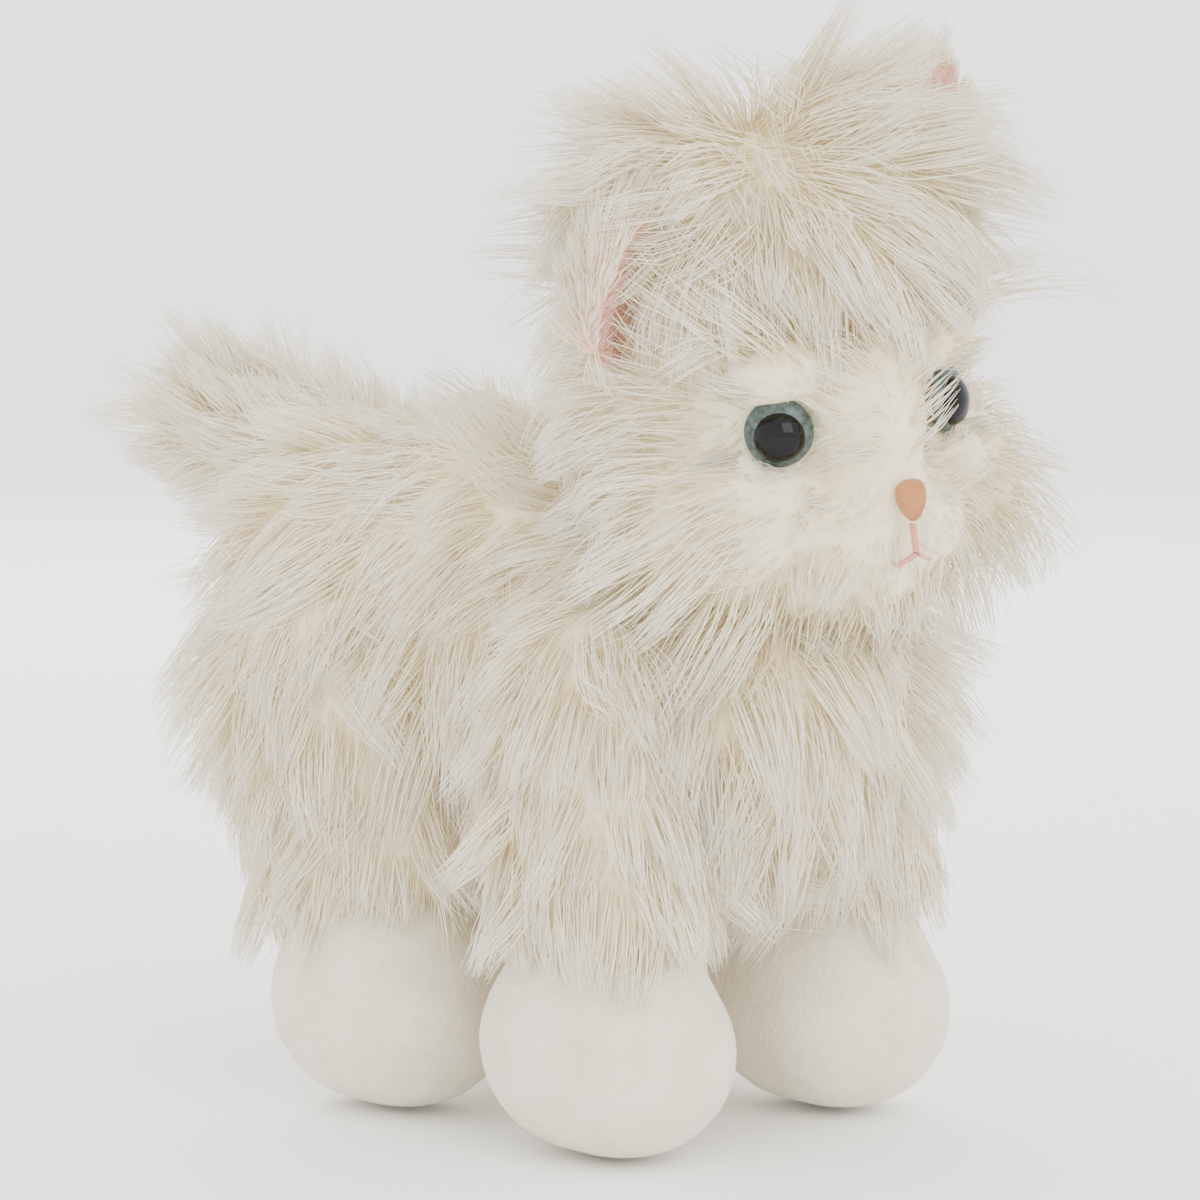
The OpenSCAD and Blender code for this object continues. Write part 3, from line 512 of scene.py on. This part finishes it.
# Ears: soft bowls of white pile lined with pink. The right one flops over, the left one stands up
earSettings = {
    "right": {"at": (-27.5, -7, 30), "open": (0.52, -0.74, -0.42), "tall": (0.70, -0.30, 0.70),
        "size": (14.5, 10, 17.5)},
    "left": {"at": (33, -6, 38), "open": (0.35, -0.93, 0.10), "tall": (0.34, 0.0, 0.94), "size": (13, 8, 18)}}


def earMatrix(e):
    y = -Vector(e["open"]).normalized()
    z = Vector(e["tall"])
    z = (z - y * z.dot(y)).normalized()
    x = y.cross(z)
    turn = Matrix((x, y, z)).transposed().to_4x4()
    return faceMatrix @ Matrix.Translation(Vector(e["at"]) * mm) @ turn


def makeEar(side):
    e = earSettings[side]
    rx, ry, rz = e["size"]
    bm = bmesh.new()
    bmesh.ops.create_icosphere(bm, subdivisions=5, radius=1)
    for v in bm.verts:
        # A bowl: the front half lies close behind the back half; the tip narrows
        x, y, z = v.co
        y = y if y >= 0 else -0.1 + 0.25 * (1 - x * x - z * z)
        narrow = 1 - 0.15 * max(0, z)
        v.co = Vector((x * rx * narrow, y * ry, z * rz))
    bmesh.ops.smooth_vert(bm, verts=bm.verts, factor=0.5, use_axis_x=True, use_axis_y=True, use_axis_z=True)
    bmesh.ops.transform(bm, matrix=earMatrix(e) @ Matrix.Scale(mm, 4), verts=bm.verts)
    bmesh.ops.recalc_face_normals(bm, faces=bm.faces)
    ear = fromBmesh(side + "Ear", bm)
    ear.data.materials.append(pinkFelt)
    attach(ear, "head")
    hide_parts("ear_" + side, "ear_lining_" + side)
    return ear


earStyle = {"lift": 0.35, "clump": 0.4, "lock": 22, "wave": 0.18, "width": 0.16, "droop": 0.0, "fray": 0.4}
for side, s in sides.items():
    ear = makeEar(side)
    e = earSettings[side]
    toEar = np.array(earMatrix(e).inverted())
    fromEar = np.array(earMatrix(e).to_3x3())

    def lining(p, n, toEar=toEar, e=e):
        # The inside of the bowl: its normals look out of the opening
        return (n @ toEar[:3, :3].T)[:, 1] < -0.15

    def upward(p, n, fromEar=fromEar):
        return np.tile(np.array([0.0, -0.25, 1.0]), (len(p), 1)) @ fromEar.T

    growFur(side + "EarFur", ear, dict(earStyle, count=5600, comb=upward,
        length=lambda p, n, f=lining: np.where(f(p, n), 0, 6.5)), "head", whitePile, 31 + s)
    growFur(side + "EarLiningFur", ear, dict(earStyle, count=3000, width=0.14, comb=upward,
        length=lambda p, n, f=lining: np.where(f(p, n), 3.4, 0)), "head", pinkPile, 41 + s)
print("ears furred")


def makeEyeMaterial(name, dark, light, roughness, level, grain, detail):
    # Moulded acrylic under a clear gloss, with a faint mottle that keeps it from looking printed
    material, tree, shader = newMaterial(name, **{"Roughness": roughness, "IOR": 1.49,
        "Specular IOR Level": level})
    where = addNode(tree, "ShaderNodeTexCoord").outputs["Object"]
    noise = addNode(tree, "ShaderNodeTexNoise", links={"Vector": where},
        values={"Scale": 1000 / grain, "Detail": detail})
    colour = addNode(tree, "ShaderNodeValToRGB", links={"Fac": noise.outputs["Fac"]},
        stops=[(0.3, dark), (0.7, light)])
    tree.links.new(colour.outputs["Color"], shader.inputs["Base Color"])
    return material


# A near-black dome in a dull grey-blue ring
blackDome = makeEyeMaterial("blackAcrylicDome", "040504", "0A0C0B", 0.06, 0.22, 2.5, 2.0)
irisRing = makeEyeMaterial("greyBlueIris", "2C3633", "55645F", 0.35, 0.3, 1000 / 900, 3.0)


def makeEye(side):
    turn = Matrix.Rotation(sides[side] * math.radians(faceSettings["eyeAngle"]), 4, "Z")
    outward = turn @ Matrix.Rotation(math.radians(90), 4, "X")
    face = faceMatrix @ Matrix.Translation(Vector(eyePoints[side]) * mm) @ outward
    r = faceSettings["eyeRadius"] * mm
    layers = (("Iris", r, 0.40, 0.0, irisRing), ("Pupil", r * 0.74, 0.66, 0.0011, blackDome))
    for label, radius, height, raised, material in layers:
        bm = bmesh.new()
        seat = Matrix.Translation((0, -0.0006 * (raised > 0), raised)) @ Matrix.Diagonal((1, 1, height, 1))
        bmesh.ops.create_uvsphere(bm, u_segments=48, v_segments=24, radius=radius, matrix=face @ seat)
        piece = fromBmesh(side + "Eye" + label, bm)
        piece.data.materials.append(material)
        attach(piece, "head")
        if label == "Iris":
            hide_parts("eye_" + side)


makeEye("right")
makeEye("left")


def makeNose():
    # An upside-down rounded triangle of felt: wide at the top, narrow below
    bm = bmesh.new()
    bmesh.ops.create_icosphere(bm, subdivisions=4, radius=1, matrix=Matrix.Diagonal((3.6, 2.4, 3.6, 1)))
    for v in bm.verts:
        v.co.x *= 0.45 + 0.55 * (v.co.z + 3.6) / 7.2
        v.co.z += 0.10 * abs(v.co.x) * (v.co.z > 0)
    bmesh.ops.transform(bm, matrix=faceMatrix @ Matrix.Translation(Vector(nosePoint + [0, 1.2, 0]) * mm) @
        Matrix.Scale(mm, 4), verts=bm.verts)
    nose = fromBmesh("nosePad", bm)
    nose.data.materials.append(nosePlush)
    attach(nose, "head")
    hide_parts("nose")


def makeMouth():
    # Satin stitches laid side by side down from the nose and out to both corners of the mouth
    bm = bmesh.new()
    x, y, z = nosePoint
    top, fork = Vector((0, y + 1.6, z - 4.4)), Vector((0, y + 1.4, z - 9.2))
    corners = [Vector((s * 3.0, y + 2.6, z - 10.8)) for s in (-1, 1)]
    slant = Matrix.Rotation(math.radians(20), 4, "Y")
    steps = 9
    for a, b in [(top, fork), (fork, corners[0]), (fork, corners[1])]:
        for i in range(steps):
            stitch = Matrix.Translation(a.lerp(b, i / (steps - 1))) @ slant
            bmesh.ops.create_uvsphere(bm, u_segments=10, v_segments=8, radius=0.42,
                matrix=stitch @ Matrix.Diagonal((1.7, 1.6, 0.9, 1)))
    bmesh.ops.transform(bm, matrix=faceMatrix @ Matrix.Scale(mm, 4), verts=bm.verts)
    mouth = fromBmesh("mouthStitches", bm)
    mouth.data.materials.append(threadPink)
    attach(mouth, "head")
    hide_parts("mouth_stitch")


makeNose()
makeMouth()
print("face made")

# Body: trunk, chest and rump, closed under the belly
frontY, rearY = hipFront.y / mm, hipRear.y / mm
bodySkin = softForm("bodySkin", [
    (0, frontY - 10, 78, 29, 25, 27), (0, frontY + 6, 86, 34, 28, 31), (0, -8, 89, 36, 32, 33),
    (0, 16, 89, 37, 32, 33), (0, rearY + 8, 88, 35, 32, 33), (0, -4, 68, 26, 52, 16),
    (-17, 0, 99, 17, 30, 23), (17, 0, 99, 17, 30, 23), (-17, 31, 99, 17, 30, 23), (17, 31, 99, 17, 30, 23),
    (0, 12, 97, 20, 34, 29)], None, 2.2, 14)
finishSkin(bodySkin, "body")
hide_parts("body_cover")


def bodyComb(p, n):
    q = p / mm
    side = np.clip(q[:, :1] / 10, -1, 1) * np.array([1.0, 0, 0])
    top = np.clip((q[:, 2] - 100) / 16, 0, 1)[:, None]
    back = np.clip((q[:, 1] + 20) / 60, 0, 1)[:, None]
    flank = np.array([0, 0.0, -1.0]) + back * np.array([0, 0.55, 0])
    return flank * (1 - top) + (np.array([0, 0.9, -0.1]) + 0.6 * side) * top


bodyStyle = {"length": lambda p, n: 15 + 4 * np.clip((110 - p[:, 2] / mm) / 20, 0, 1), "comb": bodyComb,
    "lift": 0.34, "clump": 0.62, "lock": 36, "wave": 0.28, "width": 0.18, "droop": 0.15, "stray": 0.13}
bodyPatches = {"Right": (22000, lambda p: p[:, 0] < -0.011), "Left": (20000, lambda p: p[:, 0] > 0.011),
    "Back": (22000, lambda p: abs(p[:, 0]) <= 0.011)}
for k, (label, (count, test)) in enumerate(bodyPatches.items()):
    growFur("body" + label + "Fur", bodySkin, dict(bodyStyle, count=count), "body", whitePile, 51 + k, test)
print("body furred")

# Tail: a short bush that lifts towards its end
tailY, tailZ = tailPin.y / mm + 6, tailPin.z / mm - 4
tailSkin = softForm("tailSkin", [
    (0, tailY + 7.5 * i, tailZ + 2.0 * i, 11 - 0.6 * i, 9, 11.5 - 0.8 * i) for i in range(6)], None, 1.6, 6)
finishSkin(tailSkin, "tail")
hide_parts("tail_cover")
tailStyle = {"count": 7000, "length": lambda p, n: 13 + 5 * np.clip((p[:, 2] / mm - 112) / 12, 0, 1),
    "comb": lambda p, n: np.stack([0 * p[:, 0], 0 * p[:, 0] + 0.8, (p[:, 2] / mm - 113) / 14], 1),
    "lift": 0.5, "clump": 0.72, "lock": 34, "wave": 0.28, "width": 0.18, "droop": 0.0, "stray": 0.14}
growFur("tailFur", tailSkin, tailStyle, "tail", whitePile, 61)
print("tail furred")

# Legs: a furry sleeve over each plastic leg, and a stuffed paw
sleeveStyle = {"count": 6300, "comb": lambda p, n: np.tile(np.array([0, 0.12, -1.0]), (len(p), 1)),
    "lift": 0.30, "clump": 0.62, "lock": 36, "wave": 0.27, "width": 0.18, "droop": 0.15, "stray": 0.13,
    "length": lambda p, n: 11.5 + 3.5 * np.clip((p[:, 2] / mm - 42) / 20, 0, 1)}


def sleeveBlobs(end, s, low, high):
    hip = hipFront if end == "front" else hipRear
    x, y, px, py = s * 30.5, hip.y / mm, (low.x + high.x) / 2 / mm, (low.y + high.y) / 2 / mm
    if end == "front":
        return [(x, y, 78, 14, 18, 20), (x - s, y - 1, 62, 16, 18, 18),
            (px, (y + py) / 2 - 1, 48, 18, 18, 14)]
    return [(x, y, 74, 15, 25, 24), (x - s * 2, y - 3, 58, 17, 23, 18), (px, py + 6, 46, 17.5, 21, 15),
        (px, py + 15, 42, 14, 14, 12)]


pawSettings = {"slack": 2.2, "voxel": 3.0, "fill": 0.85}


def makePaw(end, side, low, high):
    middlePoint = (low + high) / 2 / mm
    half = (high - low) / 2 / mm
    x, y = middlePoint.x, middlePoint.y
    r, step = half.x - pawSettings["slack"], half.y - half.x
    paw = softForm(end + side.capitalize() + "Paw", [
        (x, y - step - 1, r * 0.92, r, r, r * 0.92), (x, y + step, r, r, r, r),
        (x, y, half.z * 1.5, r * 0.85, r * 0.9, r * 0.55)], None, pawSettings["voxel"], 10)
    puffUp(paw)
    # The sole rests flat on the floor
    floor = np.zeros(len(paw.data.vertices) * 3, np.float32)
    paw.data.vertices.foreach_get("co", floor)
    floor = floor.reshape(-1, 3)
    floor[:, 2] = np.maximum(floor[:, 2], 0)
    paw.data.vertices.foreach_set("co", floor.ravel())
    paw.data.shade_smooth()
    paw.data.materials.clear()
    paw.data.materials.append(fleece)
    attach(paw, "leg_" + end + "_" + side)
    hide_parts("paw_" + end + "_" + side)


seed = 71
for end in ("front", "rear"):
    for side, s in sides.items():
        low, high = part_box("paw_" + end + "_" + side)
        body = "leg_" + end + "_" + side
        skin = softForm(end + side.capitalize() + "Sleeve", sleeveBlobs(end, s, low, high), None, 2.0, 10)
        finishSkin(skin, body)
        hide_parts("sleeve_" + end + "_" + side)
        growFur(end + side.capitalize() + "LegFur", skin, sleeveStyle, body, whitePile, seed)
        makePaw(end, side, low, high)
        seed += 1
print("legs furred")

# Plastics and metals inside
finishes = {
    "whiteAbs": (makeHard("mouldedWhiteAbs", "CFCFC9", "DADAD5", 0.42), ["casing_right", "casing_left",
        "neck_post", "skull_back", "skull_front", "tail_bracket", "tail_core", "touch_button",
        "eye_washers", "leg_front_right", "leg_front_left", "leg_rear_right", "leg_rear_left"]),
    "darkAbs": (makeHard("mouldedGreyAbs", "3A3B3D", "47494B", 0.5), ["battery_box", "battery_door",
        "power_slider", "switch_housing", "board_parts", "speaker", "touch_housing"]),
    "acetal": (makeHard("naturalAcetal", "E4E1D4", "EFEDE3", 0.33), ["middle_gear", "crank_gear",
        "motor_pinion", "side_rod_right", "side_rod_left", "gearbox_plate", "neck_swivel"]),
    "steel": (makeHard("zincPlatedSteel", "8E9093", "B4B6B9", 0.28, 0.8, 1.0), ["casing_screws", "motor",
        "gear_axle", "front_axle", "rear_axle", "crankshaft", "battery_contacts", "touch_spring",
        "door_screw", "speaker_magnet"]),
    "cells": (makeHard("shrunkPvcJacket", "3C6284", "4B7599", 0.25, 5.0), ["battery_cells"]),
    "board": (makeHard("greenSolderMask", "0F4A2A", "1B633B", 0.35, 1.5), ["circuit_board"]),
    "wire": (makeHard("redPvcInsulation", "8F1D1D", "A82A28", 0.4, 1.0), ["battery_leads"]),
}
for material, nodes in finishes.values():
    for node in nodes:
        mesh = frame["nodes"][node].data
        mesh.materials.clear()
        mesh.materials.append(material)
print("inner parts finished")

# Floor, world and lights
stageSettings = {"floorSize": 6.0, "floorTint": "FBFBFA", "sky": 2.5}


def makeStage(s):
    bm = bmesh.new()
    bmesh.ops.create_grid(bm, x_segments=1, y_segments=1, size=s["floorSize"])
    floor = fromBmesh("floor", bm, False)
    # Matt white sweep paper
    material, tree, shader = newMaterial("whiteSweepPaper", **{"Roughness": 0.95,
        "Base Color": hexLinear(s["floorTint"]), "Specular IOR Level": 0.1})
    floor.data.materials.append(material)
    world = bpy.data.worlds.new("softStudio")
    world.use_nodes = True
    world.node_tree.nodes["Background"].inputs["Color"].default_value = (1, 1, 1, 1)
    world.node_tree.nodes["Background"].inputs["Strength"].default_value = s["sky"]
    scene.world = world


makeStage(stageSettings)
makeCamera(cameraSettings)
makeLight("keySoftbox", (-0.25, -0.9, 0.55), (0, 0, 0.1), 0.6, 4)
makeLight("rimSoftbox", (0.5, 0.7, 0.6), (0, 0, 0.1), 0.6, 6, (1.0, 0.98, 0.94))
